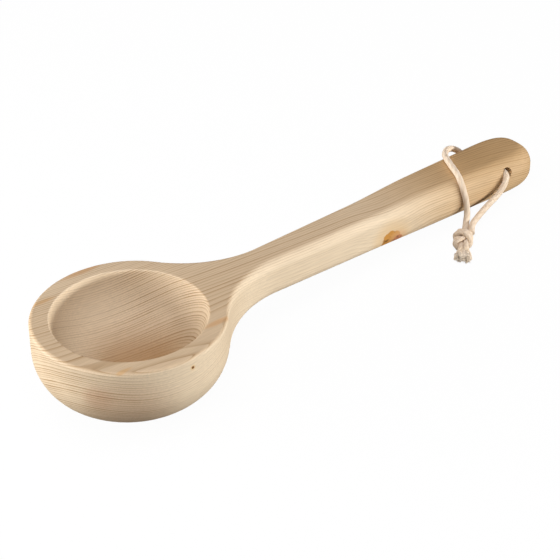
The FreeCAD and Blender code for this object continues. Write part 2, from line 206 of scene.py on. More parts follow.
@dataclass(frozen=True)
class SpruceWood:
    """Spruce, sawn from a plank, turned and sanded, left bare.

    The eye sees year rings: arcs about the tree's pith, which runs under the near
    side of the ladle, so the top face shows long lines, the left wall flat level
    ones and the hollow nested arcs. Early wood is cream, late wood tan. The two
    values of line_by_year, line_by_cut and line_by_patch are how strong the late
    wood's line is at least and at most, by its year, by how squarely the fibres
    are cut and from patch to patch.
    """

    rest: RestingPlace
    early: str = "#e9d5b6"
    late: str = "#98703f"
    flat_sawn: str = "#d3ba98"
    end_grain: str = "#d9c2a2"
    pith_y: tuple[float, ...] = (1.5456, -0.5928, -18.0698, -42.5523)
    pith_z: tuple[float, ...] = (-1.5853, 3.0333, 3.0999, -36.2778)
    ring: float = 1.7
    outer_rings: float = 97.0
    outer_crowding: float = 0.15
    ring_wander: float = 2.4
    year_wander: float = 1.2
    season: tuple[tuple[float, float], ...] = ((0.50, 0.10), (0.78, 0.50), (0.90, 1.0), (0.96, 0.7))
    season_turn: float = 0.03
    grain_axis: tuple[float, float, float] = (0.996, 0.0, -0.086)
    line_by_year: tuple[float, float] = (0.45, 1.15)
    line_by_cut: tuple[float, float] = (0.75, 1.1)
    line_by_patch: tuple[float, float] = (0.6, 1.2)
    faint_side: tuple[float, float, float] = (0.55, -0.83, 0.0)
    faint_by: float = 0.62
    strong_from: tuple[float, float] = (205.0, 250.0)
    end_tint: float = 0.55
    fibre_shade: tuple[float, float] = (0.90, 1.07)
    roughness: tuple[float, float] = (0.68, 0.52)
    relief: float = 0.08
    knots: tuple[Knot, ...] = (
        Knot((206.3, -16.0, 31.2), 9.4, 3.6, "#c48a3e", "#e2be88"),
        Knot((212.0, -15.8, 30.6), 4.6, 0.0, "#c0815a", "#d8a878"),
        Knot((2.8, -62.4, 46.4), 1.1, 1.2, "#7a4c20", "#dfb15e"),
    )
    stains_and_painted_shade: tuple[TintPatch, ...] = (
        TintPatch((6.0, 59.0, 53.5), 4.0, 6.0, 0.55, "#c48c52"),
        TintPatch((-34.5, 45.8, 53.5), 2.6, 5.0, 0.5, "#cf9c5c"),
        TintPatch((-38.0, -46.9, 53.5), 2.4, 4.0, 0.5, "#d3a15f"),
        TintPatch((37.5, -42.3, 53.5), 3.4, 4.5, 0.55, "#cf9a62"),
        TintPatch((-50.0, -37.0, 34.0), 12.0, 1.6, 0.35, "#c79a7c"),
        TintPatch((335.0, 0.0, 40.0), 66.0, 2.0, 0.72, "#bc955f"),
        TintPatch((262.0, 0.0, 42.0), 44.0, 1.8, 0.28, "#bf9862"),
        # painted shade: the bottom of the hollow, darker and browner
        TintPatch((2.0, -4.0, 14.0), 46.0, 1.0, 0.70, "#9c6f3a"),
        # painted shade: low on the bowl's outside towards the near left, darker and redder
        TintPatch((-36.0, -48.0, 20.0), 34.0, 1.3, 0.40, "#b08a6c"),
    )

    def pith(self, tree: Tree, along: Socket, terms: tuple[float, ...]) -> Socket:
        """The pith's wandering line, one coordinate of it.

        Args:
            tree: the material's tree.
            along: distance along the handle over 100 mm.
            terms: the line's cubic, highest power first.

        Returns:
            The coordinate in millimetres.
        """
        value: object = terms[0]
        for term in terms[1:]:
            value = add_node(tree, "ShaderNodeMath", value, along, term, operation="MULTIPLY_ADD").outputs[0]
        return value

    def spoke(self, tree: Tree, level: Socket) -> Socket:
        """The way from the pith out to a point, square to the grain.

        Args:
            tree: the material's tree.
            level: level coordinates.

        Returns:
            A vector as long as the point's distance from the pith.
        """
        x, y, z = add_node(tree, "ShaderNodeSeparateXYZ", level).outputs
        along = add_node(tree, "ShaderNodeMath", x, 100.0, operation="DIVIDE").outputs[0]
        pith_y = self.pith(tree, along, self.pith_y)
        pith_z = self.pith(tree, along, self.pith_z)
        out_y = add_node(tree, "ShaderNodeMath", y, pith_y, operation="SUBTRACT").outputs[0]
        out_z = add_node(tree, "ShaderNodeMath", z, pith_z, operation="SUBTRACT").outputs[0]
        return add_node(tree, "ShaderNodeCombineXYZ", 0.0, out_y, out_z).outputs[0]

    def long_in_grain(self, tree: Tree, place: Socket, share: float) -> Socket:
        """Coordinates squeezed along the grain, so that a pattern on them comes out long."""
        return add_node(tree, "ShaderNodeVectorMath", place, (share, 1.0, 1.0),
                        operation="MULTIPLY").outputs[0]

    def rings(self, tree: Tree, level: Socket, stretched: Socket, spoke: Socket) -> Socket:
        """Count the years out from the pith.

        Args:
            tree: the material's tree.
            level: level coordinates.
            stretched: the same, squeezed along the grain.
            spoke: the way from the pith.

        Returns:
            The number of rings: its whole part is the year, the rest the season.
        """
        radius = add_node(tree, "ShaderNodeVectorMath", spoke, operation="LENGTH").outputs["Value"]
        # the rings wander a millimetre or so over the length of a hand
        wander = add_node(tree, "ShaderNodeTexNoise", sockets={
            "Vector": stretched, "Scale": 0.024, "Detail": 1.0}).outputs["Fac"]
        radius = add_node(tree, "ShaderNodeMath", wander, self.ring_wander, radius,
                          operation="MULTIPLY_ADD").outputs[0]
        # they bend round a branch
        for knot in self.knots:
            apart = add_node(tree, "ShaderNodeVectorMath", level, knot.centre,
                             operation="DISTANCE").outputs["Value"]
            near = add_node(tree, "ShaderNodeMapRange", apart, knot.radius * 0.7, knot.radius * 4.5, 1.0, 0.0,
                            interpolation_type="SMOOTHERSTEP").outputs[0]
            radius = add_node(tree, "ShaderNodeMath", near, knot.push, radius,
                              operation="MULTIPLY_ADD").outputs[0]
        # they are wide near the pith and crowd together further out
        crowd = add_node(tree, "ShaderNodeMath", radius, self.outer_rings, operation="SUBTRACT").outputs[0]
        crowd = add_node(tree, "ShaderNodeMath", crowd, 0.0, operation="MAXIMUM").outputs[0]
        count = add_node(tree, "ShaderNodeMath", radius, 1 / self.ring, operation="MULTIPLY").outputs[0]
        count = add_node(tree, "ShaderNodeMath", crowd, self.outer_crowding, count,
                         operation="MULTIPLY_ADD").outputs[0]
        uneven = add_node(tree, "ShaderNodeTexNoise", noise_dimensions="1D",
                          sockets={"W": radius, "Scale": 0.16, "Detail": 1.0}).outputs["Fac"]
        return add_node(tree, "ShaderNodeMath", uneven, self.year_wander, count,
                        operation="MULTIPLY_ADD").outputs[0]

    def late_wood(self, tree: Tree, level: Socket, count: Socket, facing: Socket, stretched: Socket,
                  cut: Socket) -> Socket:
        """How strong the dark line of late wood is.

        Args:
            tree: the material's tree.
            level: level coordinates.
            count: the number of rings.
            facing: the surface's normal.
            stretched: level coordinates, squeezed along the grain.
            cut: how squarely the surface cuts the fibres.

        Returns:
            The line's strength, about 0 to 1.
        """
        season = add_node(tree, "ShaderNodeMath", count, operation="FRACT").outputs[0]
        year = add_node(tree, "ShaderNodeMath", count, operation="FLOOR").outputs[0]
        late = add_node(tree, "ShaderNodeValToRGB", season)
        ramp = late.color_ramp
        ramp.interpolation = "EASE"
        for position, value in self.season:
            ramp.elements.new(position).color = (value, value, value, 1)
        for turn in (ramp.elements[0], ramp.elements[-1]):
            turn.color = (self.season_turn, self.season_turn, self.season_turn, 1)
        hard_year = add_node(tree, "ShaderNodeTexWhiteNoise", noise_dimensions="1D",
                             sockets={"W": year}).outputs["Value"]
        hard_year = add_node(tree, "ShaderNodeMapRange", hard_year, 0.0, 1.0, *self.line_by_year).outputs[0]
        bold = add_node(tree, "ShaderNodeMapRange", cut, 0.0, 0.6, *self.line_by_cut).outputs[0]
        patchy = add_node(tree, "ShaderNodeTexNoise", sockets={
            "Vector": stretched, "Scale": 0.045, "Detail": 2.0, "Roughness": 0.6}).outputs["Fac"]
        patchy = add_node(tree, "ShaderNodeMapRange", patchy, 0.35, 0.65, *self.line_by_patch).outputs[0]
        # the lines are faint on the near side, up to the branch
        faint = add_node(tree, "ShaderNodeVectorMath", facing, self.faint_side,
                         operation="DOT_PRODUCT").outputs["Value"]
        faint = add_node(tree, "ShaderNodeMapRange", faint, 0.25, 0.85, 0.0, self.faint_by,
                         interpolation_type="SMOOTHSTEP").outputs[0]
        x = add_node(tree, "ShaderNodeSeparateXYZ", level).outputs[0]
        before_end = add_node(tree, "ShaderNodeMapRange", x, *self.strong_from, 1.0, 0.0,
                              interpolation_type="SMOOTHSTEP").outputs[0]
        faint = add_node(tree, "ShaderNodeMath", faint, before_end, operation="MULTIPLY").outputs[0]
        faint = add_node(tree, "ShaderNodeMath", 1.0, faint, operation="SUBTRACT").outputs[0]
        lines = late.outputs[0]
        for share in (hard_year, faint, bold, patchy):
            lines = add_node(tree, "ShaderNodeMath", lines, share, operation="MULTIPLY").outputs[0]
        return lines

    def early_wood(self, tree: Tree, level: Socket, spoke: Socket, facing: Socket, cut: Socket) -> Socket:
        """The colour between the lines, with its stains and its patches of painted shade.

        Args:
            tree: the material's tree.
            level: level coordinates.
            spoke: the way from the pith.
            facing: the surface's normal.
            cut: how squarely the surface cuts the fibres.

        Returns:
            The colour.
        """
        # flat-sawn faces show broad tan late wood, quarter-sawn ones stay cream
        outward = add_node(tree, "ShaderNodeVectorMath", spoke, operation="NORMALIZE").outputs[0]
        flat = add_node(tree, "ShaderNodeVectorMath", facing, outward,
                        operation="DOT_PRODUCT").outputs["Value"]
        flat = add_node(tree, "ShaderNodeMapRange", flat, 0.35, 0.95, 0.0, 1.0,
                        interpolation_type="SMOOTHSTEP").outputs[0]
        colour = add_node(tree, "ShaderNodeMix", flat, sockets={
            FIRST: linear(self.early), SECOND: linear(self.flat_sawn)}, data_type="RGBA").outputs[MIXED]
        ends = add_node(tree, "ShaderNodeMapRange", cut, 0.3, 1.0, 0.0, self.end_tint).outputs[0]
        colour = add_node(tree, "ShaderNodeMix", ends, sockets={
            FIRST: colour, SECOND: linear(self.end_grain)}, data_type="RGBA").outputs[MIXED]
        # stains, and patches of painted shade in the hollow and low on the bowl's outside
        for tint_patch in self.stains_and_painted_shade:
            off = add_node(tree, "ShaderNodeVectorMath", level, tint_patch.centre, operation="SUBTRACT").outputs[0]
            off = self.long_in_grain(tree, off, 1 / tint_patch.stretch)
            off = add_node(tree, "ShaderNodeVectorMath", off, operation="LENGTH").outputs["Value"]
            tint = add_node(tree, "ShaderNodeMapRange", off, 0.3 * tint_patch.radius, tint_patch.radius, tint_patch.strength,
                            0.0, interpolation_type="SMOOTHSTEP").outputs[0]
            colour = add_node(tree, "ShaderNodeMix", tint, sockets={
                FIRST: colour, SECOND: linear(tint_patch.colour)}, data_type="RGBA").outputs[MIXED]
        return colour

    def branches(self, tree: Tree, level: Socket, colour: Socket) -> Socket:
        """Lay the branches over the wood: a golden ring and a ragged, flecked heart.

        Args:
            tree: the material's tree.
            level: level coordinates.
            colour: the wood's colour.

        Returns:
            The colour with the branches in it.
        """
        for knot in self.knots:
            apart = add_node(tree, "ShaderNodeVectorMath", level, knot.centre,
                             operation="DISTANCE").outputs["Value"]
            halo = add_node(tree, "ShaderNodeMapRange", apart, knot.radius, knot.radius * 2.2, 0.5, 0.0,
                            interpolation_type="SMOOTHSTEP").outputs[0]
            colour = add_node(tree, "ShaderNodeMix", halo, sockets={
                FIRST: colour, SECOND: linear(knot.halo)}, data_type="RGBA").outputs[MIXED]
            grainy = add_node(tree, "ShaderNodeTexNoise", sockets={
                "Vector": level, "Scale": 3.2 / knot.radius, "Detail": 3.0, "Roughness": 0.6}).outputs["Fac"]
            edge = add_node(tree, "ShaderNodeMath", grainy, -0.6 * knot.radius, apart,
                            operation="MULTIPLY_ADD").outputs[0]
            heart = add_node(tree, "ShaderNodeMapRange", edge, knot.radius * 0.50, knot.radius * 0.62, 1.0,
                             0.0, interpolation_type="SMOOTHSTEP").outputs[0]
            flecks = add_node(tree, "ShaderNodeMapRange", grainy, 0.36, 0.5, 0.4, 1.05).outputs[0]
            core = add_node(tree, "ShaderNodeVectorMath", linear(knot.colour)[:3], flecks,
                            operation="MULTIPLY").outputs[0]
            colour = add_node(tree, "ShaderNodeMix", heart, sockets={
                FIRST: colour, SECOND: core}, data_type="RGBA").outputs[MIXED]
        return colour

    def material(self) -> bpy.types.Material:
        """Build the wood's material.

        Returns:
            The material, the same in any light.
        """
        material, tree, output = new_material("spruce_turned_and_sanded")
        level = self.rest.level_coordinates(tree)
        stretched = self.long_in_grain(tree, level, 0.3)
        spoke = self.spoke(tree, level)
        facing = add_node(tree, "ShaderNodeTexCoord").outputs["Normal"]
        # cut ends of the fibres show the rings strongest, and so does the hollow
        cut = add_node(tree, "ShaderNodeVectorMath", facing, self.grain_axis,
                       operation="DOT_PRODUCT").outputs["Value"]
        cut = add_node(tree, "ShaderNodeMath", cut, operation="ABSOLUTE").outputs[0]
        count = self.rings(tree, level, stretched, spoke)
        lines = self.late_wood(tree, level, count, facing, stretched, cut)
        colour = self.early_wood(tree, level, spoke, facing, cut)
        colour = add_node(tree, "ShaderNodeMix", lines, sockets={
            FIRST: colour, SECOND: linear(self.late)}, data_type="RGBA").outputs[MIXED]

        # fibres: streaks half a millimetre wide and a few centimetres long
        thread = self.long_in_grain(tree, level, 0.035)
        fibre = add_node(tree, "ShaderNodeTexNoise", sockets={
            "Vector": thread, "Scale": 1.5, "Detail": 3.0, "Roughness": 0.65}).outputs["Fac"]
        shade = add_node(tree, "ShaderNodeMapRange", fibre, 0.3, 0.7, *self.fibre_shade).outputs[0]
        colour = add_node(tree, "ShaderNodeVectorMath", colour, shade, operation="MULTIPLY").outputs[0]
        colour = self.branches(tree, level, colour)

        rough = add_node(tree, "ShaderNodeMapRange", lines, 0.0, 1.0, *self.roughness).outputs[0]
        height = add_node(tree, "ShaderNodeMath", fibre, 0.6, lines, operation="MULTIPLY_ADD").outputs[0]
        bump = add_node(tree, "ShaderNodeBump", sockets={
            "Strength": 0.35, "Distance": self.relief * MM, "Height": height}).outputs[0]
        surface = add_node(tree, "ShaderNodeBsdfPrincipled", sockets={
            "Base Color": colour, "Roughness": rough, "IOR": 1.45, "Specular IOR Level": 0.35,
            "Normal": bump})
        tree.links.new(surface.outputs[0], output.inputs[0])
        return material


@dataclass(frozen=True)
class CottonCord:
    """Undyed cotton, three plies twisted to a cord: soft, matt and slightly hairy.

    The eye sees pale crowns between grooves darkened with painted shade, fine slanting threads,
    specks of fluff and broad worn patches. Fluff and wear are patterns of so many spots a
    millimetre.
    """

    name: str = "cotton_twisted_cord"
    dark_threads_and_groove_shade: str = "#dec3a2"
    crown: str = "#f5e3cb"
    thread: float = 0.55
    thread_slant: float = 0.9
    fluff: float = 1.4
    wear: float = 0.09
    relief: float = 0.16

    def material(self) -> bpy.types.Material:
        """Build the cord's material from its UV map, in millimetres round and along.

        Returns:
            The material.
        """
        material, tree, output = new_material(self.name)
        here = add_node(tree, "ShaderNodeUVMap", uv_map="yarn").outputs[0]
        u, v, _ = add_node(tree, "ShaderNodeSeparateXYZ", here).outputs
        # single threads lie across each ply, against the cord's own twist
        lay = add_node(tree, "ShaderNodeMath", u, self.thread_slant, v, operation="MULTIPLY_ADD").outputs[0]
        turns = add_node(tree, "ShaderNodeMath", lay, 2 * math.pi / self.thread,
                         operation="MULTIPLY").outputs[0]
        wave = add_node(tree, "ShaderNodeMath", turns, operation="SINE").outputs[0]
        wave = add_node(tree, "ShaderNodeMapRange", wave, -1.0, 1.0, 0.0, 1.0).outputs[0]
        place = add_node(tree, "ShaderNodeTexCoord").outputs["Object"]
        fluff = add_node(tree, "ShaderNodeTexNoise", sockets={
            "Vector": place, "Scale": self.fluff / MM, "Detail": 3.0, "Roughness": 0.7}).outputs["Fac"]
        worn = add_node(tree, "ShaderNodeTexNoise", sockets={
            "Vector": place, "Scale": self.wear / MM, "Detail": 2.0}).outputs["Fac"]
        # painted shade: the deeper a point lies between the plies, the darker it is coloured
        depth = add_node(tree, "ShaderNodeAttribute", attribute_name="crown").outputs["Fac"]
        depth = add_node(tree, "ShaderNodeMath", depth, 0.4, operation="MULTIPLY").outputs[0]
        mix = add_node(tree, "ShaderNodeMath", wave, 0.2, depth, operation="MULTIPLY_ADD").outputs[0]
        mix = add_node(tree, "ShaderNodeMath", fluff, 0.7, mix, operation="MULTIPLY_ADD").outputs[0]
        mix = add_node(tree, "ShaderNodeMath", worn, 0.35, mix, operation="MULTIPLY_ADD").outputs[0]
        mix = add_node(tree, "ShaderNodeMapRange", mix, 0.35, 1.25, 0.0, 1.0).outputs[0]
        colour = add_node(tree, "ShaderNodeMix", mix, sockets={
            FIRST: linear(self.dark_threads_and_groove_shade), SECOND: linear(self.crown)}, data_type="RGBA").outputs[MIXED]
        height = add_node(tree, "ShaderNodeMath", fluff, 0.8, wave, operation="MULTIPLY_ADD").outputs[0]
        bump = add_node(tree, "ShaderNodeBump", sockets={
            "Strength": 0.7, "Distance": self.relief * MM, "Height": height}).outputs[0]
        surface = add_node(tree, "ShaderNodeBsdfPrincipled", sockets={
            "Base Color": colour, "Roughness": 0.92, "Specular IOR Level": 0.2, "Sheen Weight": 0.25,
            "Sheen Roughness": 0.5, "Normal": bump})
        tree.links.new(surface.outputs[0], output.inputs[0])
        return material


@dataclass(frozen=True)
class FrayedCotton:
    """The same cotton combed apart: single fibres, tan inside and whitish at their tips."""

    root: str = "#f6ddb8"
    tip: str = "#fff3e0"

    def material(self) -> bpy.types.Material:
        """Build the fibres' material from how far along its fibre a point lies.

        Returns:
            The material.
        """
        material, tree, output = new_material("cotton_frayed_ends")
        along = add_node(tree, "ShaderNodeAttribute", attribute_name="along").outputs["Fac"]
        shade = add_node(tree, "ShaderNodeAttribute", attribute_name="shade").outputs["Fac"]
        mix = add_node(tree, "ShaderNodeMath", shade, 0.6, along, operation="MULTIPLY_ADD").outputs[0]
        mix = add_node(tree, "ShaderNodeMapRange", mix, 0.1, 1.25, 0.0, 1.0).outputs[0]
        colour = add_node(tree, "ShaderNodeMix", mix, sockets={
            FIRST: linear(self.root), SECOND: linear(self.tip)}, data_type="RGBA").outputs[MIXED]
        surface = add_node(tree, "ShaderNodeBsdfPrincipled", sockets={
            "Base Color": colour, "Roughness": 0.9, "Specular IOR Level": 0.2, "Sheen Weight": 0.2})
        tree.links.new(surface.outputs[0], output.inputs[0])
        return material


@dataclass
class Strand:
    """A twisted cord of three plies along a smooth line."""

    points: list[Vector]
    radius: float
    ply_share: float = 0.91
    pitch: float = 21.0
    step: float = 0.75
    around: int = 24

    def line(self, name: str) -> bpy.types.Object:
        """Draw the line as a NURBS curve with no bevel.

        Args:
            name: the curve's name.

        Returns:
            The curve object.
        """
        data = bpy.data.curves.new(name, "CURVE")
        data.dimensions = "3D"
        data.resolution_u = 16
        spline = data.splines.new("NURBS")
        spline.points.add(len(self.points) - 1)
        for point, place in zip(spline.points, self.points):
            point.co = (*place, 1.0)
        spline.order_u = 3
        spline.use_endpoint_u = True
        return show(name, data)

    def centreline(self) -> list[Vector]:
        """Read evenly spaced points from the NURBS curve.

        Returns:
            The points in metres, one step apart.
        """
        curve = self.line("line")
        mesh = baked(curve, "line_points")
        run = [vertex.co.copy() for vertex in mesh.vertices]
        bpy.data.meshes.remove(mesh)
        bpy.data.objects.remove(curve)
        lengths = [0.0]
        for before, after in zip(run, run[1:]):
            lengths.append(lengths[-1] + (after - before).length)
        count = max(2, round(lengths[-1] / (self.step * MM)))
        evenly, k = [], 0
        for i in range(count + 1):
            target = lengths[-1] * i / count
            while k < len(run) - 2 and lengths[k + 1] < target:
                k += 1
            share = (target - lengths[k]) / (lengths[k + 1] - lengths[k])
            evenly.append(run[k].lerp(run[k + 1], share))
        return evenly

    def section(self, angle: float) -> float:
        """Distance from the middle to the outside of the three plies, as a share of the radius.

        Args:
            angle: direction round the cord.

        Returns:
            A share between 0 and 1.
        """
        offset = 1 - self.ply_share
        off = (angle + math.pi / 3) % (2 * math.pi / 3) - math.pi / 3
        return offset * math.cos(off) + math.sqrt(self.ply_share ** 2 - (offset * math.sin(off)) ** 2)

    def mesh(self, name: str) -> tuple[bpy.types.Mesh, list[Vector]]:
        """Sweep the plies along the line, turned by the pitch.

        Args:
            name: the mesh's name.

        Returns:
            The closed mesh and the points that it follows.
        """
        path = self.centreline()
        mesh = bpy.data.meshes.new(name)
        shape = bmesh.new()
        uv = shape.loops.layers.uv.new("yarn")
        crown = shape.verts.layers.float.new("crown")
        tangent = (path[1] - path[0]).normalized()
        side = tangent.orthogonal().normalized()
        rings, run = [], 0.0
        lowest = self.section(math.pi / 3)
        for i, place in enumerate(path):
            ahead = path[min(i + 1, len(path) - 1)] - path[max(i - 1, 0)]
            tangent = ahead.normalized()
            side = (side - tangent * side.dot(tangent)).normalized()
            up = tangent.cross(side)
            if i:
                run += (place - path[i - 1]).length / MM
            twist = 2 * math.pi * run / self.pitch
            ring = []
            for j in range(self.around):
                angle = 2 * math.pi * j / self.around
                share = self.section(angle)
                turned = angle + twist
                spoke = side * math.cos(turned) + up * math.sin(turned)
                vert = shape.verts.new(place + spoke * share * self.radius * MM)
                vert[crown] = (share - lowest) / (1 - lowest)
                ring.append(vert)
            rings.append((ring, run))
        round_mm = 2 * math.pi * self.radius / self.around
        for (ring, here), (following, there) in zip(rings, rings[1:]):
            for j in range(self.around):
                k = (j + 1) % self.around
                face = shape.faces.new((ring[j], ring[k], following[k], following[j]))
                for loop, corner in zip(face.loops, ((j, here), (j + 1, here), (j + 1, there), (j, there))):
                    loop[uv].uv = (corner[0] * round_mm, corner[1])
                face.smooth = True
        for ring, flip in ((rings[0][0], True), (rings[-1][0], False)):
            shape.faces.new(list(reversed(ring)) if flip else ring)
        shape.to_mesh(mesh)
        shape.free()
        return mesh, path


@dataclass
class HangingCord:
    """The cord: from its knot on the floor, through the hole and back over the handle.

    Its points are the route's, in metres, a few of them moved on to the
    line that the real cord takes.
    """

    finish: CottonCord
    radius: float = 2.25
    route: tuple[tuple[float, float, float], ...] = (
        (0.1179, -0.0391, 0.0071),
        (0.1216, -0.0352, 0.0072),
        (0.1266, -0.0312, 0.0071),
        (0.1337, -0.0285, 0.0073),
        (0.1415, -0.0270, 0.0093),
        (0.1493, -0.0261, 0.0115),
        (0.1573, -0.0253, 0.0135),
        (0.1639, -0.0249, 0.0183),
        (0.1690, -0.0225, 0.0228),
        (0.1714, -0.0158, 0.0226),
        (0.1711, -0.0073, 0.0210),
        (0.1710, 0.0009, 0.0197),
        (0.1712, 0.0092, 0.0183),
        (0.1715, 0.0177, 0.0167),
        (0.1712, 0.0243, 0.0175),
        (0.1671, 0.0249, 0.0229),
        (0.1604, 0.0236, 0.0288),
        (0.1532, 0.0215, 0.0328),
        (0.1467, 0.0177, 0.0338),
        (0.1421, 0.0117, 0.0354),
        (0.1385, 0.0045, 0.0360),
        (0.1352, -0.0029, 0.0364),
        (0.1320, -0.0106, 0.0366),
        (0.1291, -0.0174, 0.0344),
        (0.1278, -0.0216, 0.0286),
        (0.1288, -0.0230, 0.0202),
        (0.1281, -0.0245, 0.0118),
        (0.1242, -0.0272, 0.0072),
        (0.1193, -0.0314, 0.0066),
        (0.1150, -0.0358, 0.0068),
    )

    def build(self, on_it: list[bpy.types.Object]) -> bpy.types.Object:
        """Make the cord.

        Args:
            on_it: the pieces that are tied into it; not used.

        Returns:
            The cord.
        """
        strand = Strand([Vector(point) for point in self.route], self.radius)
        mesh, path = strand.mesh("hanging_cord")
        piece = show("hanging_cord", mesh, self.finish.material())
        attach(piece, "root")
        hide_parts("cord")
        return piece


class LooseEnd(Enum):
    """The cord's two loose ends, each with the seed of its fibres' chance numbers."""

    LEFT = 11
    RIGHT = 47


@dataclass
class CordKnot:
    """An overhand knot tied in both strands at once, with two frayed ends.

    Its points are in the knot's own frame, in millimetres: along the cord towards
    the ends, across to the right of the picture, and up from the floor. A fibre
    waves so many times a millimetre and wanders so many millimetres at its tip.
    """

    finish: CottonCord
    frayed: FrayedCotton
    top: tuple[float, float, float] = (118.3, -34.2, 0.0)
    heading: float = math.radians(-139.3)
    radius: float = 1.8
    pitch: float = 12.0
    left: tuple[tuple[float, float, float], ...] = (
        (-0.6, -0.9, 6.8), (1.4, -1.3, 6.7), (5.4, -2.1, 6.7), (9.1, -3.5, 7.4), (12.0, -6.2, 8.2),
        (14.0, -7.5, 4.1), (13.9, -4.1, 1.9), (12.5, 0.0, 1.9), (10.6, 2.7, 3.3), (9.0, 3.8, 7.5),
        (7.3, 2.0, 10.3), (5.7, -2.1, 10.5), (4.5, -5.7, 9.2), (5.7, -6.0, 4.4), (8.0, -2.4, 3.6),
        (11.3, -0.4, 4.8), (14.4, 0.5, 7.4), (18.2, 1.2, 7.0), (21.0, 1.2, 6.3), (24.0, 1.5, 5.4),
    )
    right: tuple[tuple[float, float, float], ...] = (
        (-0.8, 3.5, 7.0), (1.2, 3.0, 7.1), (5.5, 1.3, 6.4), (9.1, -0.3, 7.4), (12.6, -1.8, 9.1),
        (15.3, -5.3, 8.8), (17.3, -5.9, 4.4), (16.9, -2.0, 2.4), (15.1, 1.9, 3.6), (13.1, 4.2, 6.2),
        (11.6, 2.0, 10.3), (9.8, -0.9, 11.8), (8.3, -5.1, 10.9), (8.0, -8.0, 7.7), (9.9, -5.7, 3.7),
        (13.0, -3.1, 5.3), (16.7, -2.2, 6.4), (20.0, -2.3, 6.6), (22.0, -2.4, 6.2), (25.0, -2.7, 5.4),
    )
    left_end: tuple[tuple[float, float, float], ...] = (
        (19.5, -2.2, 6.5), (22.5, -2.4, 5.9), (26.5, -2.6, 5.0), (31.2, -2.9, 4.4),
    )
    right_end: tuple[tuple[float, float, float], ...] = (
        (19.0, 1.2, 6.7), (22.0, 1.4, 5.9), (26.0, 1.8, 4.6), (30.6, 2.4, 3.9),
    )
    fibres: int = 300
    fibre_radius: float = 0.13
    fibre_points: int = 10
    fibre_sides: int = 5
    tuft_radius: float = 3.7
    wander: float = 4.0
    waves: float = 0.33

    def place(self, points: tuple[tuple[float, float, float], ...]) -> list[Vector]:
        """The knot's own points in metres in the row's frame."""
        turn = Matrix.Translation(Vector(self.top) * MM) @ Matrix.Rotation(self.heading, 4, "Z")
        return [turn @ (Vector(point) * MM) for point in points]

    def fraying(self) -> Tree:
        """Make the node group that lays fibres along a strand's end and lets them spread.

        Returns:
            The geometry node group.
        """
        tree = bpy.data.node_groups.new("frayed_strand", "GeometryNodeTree")
        for name, kind in (("Strand", "Geometry"), ("Fibres", "Int"), ("Root Radius", "Float"),
                           ("Tip Radius", "Float"), ("Fibre Radius", "Float"), ("Wander", "Float"),
                           ("Seed", "Int"), ("Material", "Material")):
            tree.interface.new_socket(name, in_out="INPUT", socket_type="NodeSocket" + kind)
        tree.interface.new_socket("Tuft", in_out="OUTPUT", socket_type="NodeSocketGeometry")
        given = add_node(tree, "NodeGroupInput").outputs

        # every fibre draws its place round the strand, its place out from it, its length and its tint
        fibres = add_node(tree, "GeometryNodePoints", given["Fibres"]).outputs[0]
        draws = (("angle", 0.0, 2 * math.pi), ("area", 0.02, 1.0), ("cut", 0.86, 1.0), ("shade", 0.0, 1.0))
        for draw, (name, low, high) in enumerate(draws, start=1):
            seed = add_node(tree, "ShaderNodeMath", given["Seed"], float(draw)).outputs[0]
            chance = add_node(tree, "FunctionNodeRandomValue", sockets={
                LOWEST: low, HIGHEST: high, SEED: seed}).outputs[CHANCE]
            fibres = add_node(tree, "GeometryNodeStoreNamedAttribute", fibres, sockets={
                "Name": name, "Value": chance}).outputs[0]
        straight = add_node(tree, "GeometryNodeCurvePrimitiveLine").outputs[0]
        straight = add_node(tree, "GeometryNodeResampleCurve", straight, sockets={
            "Count": self.fibre_points}).outputs[0]
        fibres = add_node(tree, "GeometryNodeInstanceOnPoints", fibres, sockets={
            "Instance": straight}).outputs[0]
        fibres = add_node(tree, "GeometryNodeRealizeInstances", fibres).outputs[0]

        # a fibre follows the strand at its own place in the section, wider towards the tip
        angle, area, cut = (add_node(tree, "GeometryNodeInputNamedAttribute", name).outputs[0]
                            for name in ("angle", "area", "cut"))
        share = add_node(tree, "GeometryNodeSplineParameter").outputs["Factor"]
        share = add_node(tree, "ShaderNodeMath", share, cut, operation="MULTIPLY").outputs[0]
        here = add_node(tree, "GeometryNodeSampleCurve", given["Strand"], sockets={"Factor": share},
                        mode="FACTOR", use_all_curves=True).outputs
        side = here["Normal"]
        up = add_node(tree, "ShaderNodeVectorMath", here["Tangent"], side,
                      operation="CROSS_PRODUCT").outputs[0]
        spread = add_node(tree, "ShaderNodeMapRange", share, 0.0, 0.85, given["Root Radius"],
                          given["Tip Radius"], interpolation_type="SMOOTHSTEP").outputs[0]
        reach = add_node(tree, "ShaderNodeMath", area, operation="SQRT").outputs[0]
        spread = add_node(tree, "ShaderNodeMath", spread, reach, operation="MULTIPLY").outputs[0]
        place = here["Position"]
        for direction, wave in ((side, "COSINE"), (up, "SINE")):
            part = add_node(tree, "ShaderNodeMath", angle, operation=wave).outputs[0]
            part = add_node(tree, "ShaderNodeMath", part, spread, operation="MULTIPLY").outputs[0]
            part = add_node(tree, "ShaderNodeVectorMath", direction, sockets={"Scale": part},
                            operation="SCALE").outputs[0]
            place = add_node(tree, "ShaderNodeVectorMath", place, part, operation="ADD").outputs[0]

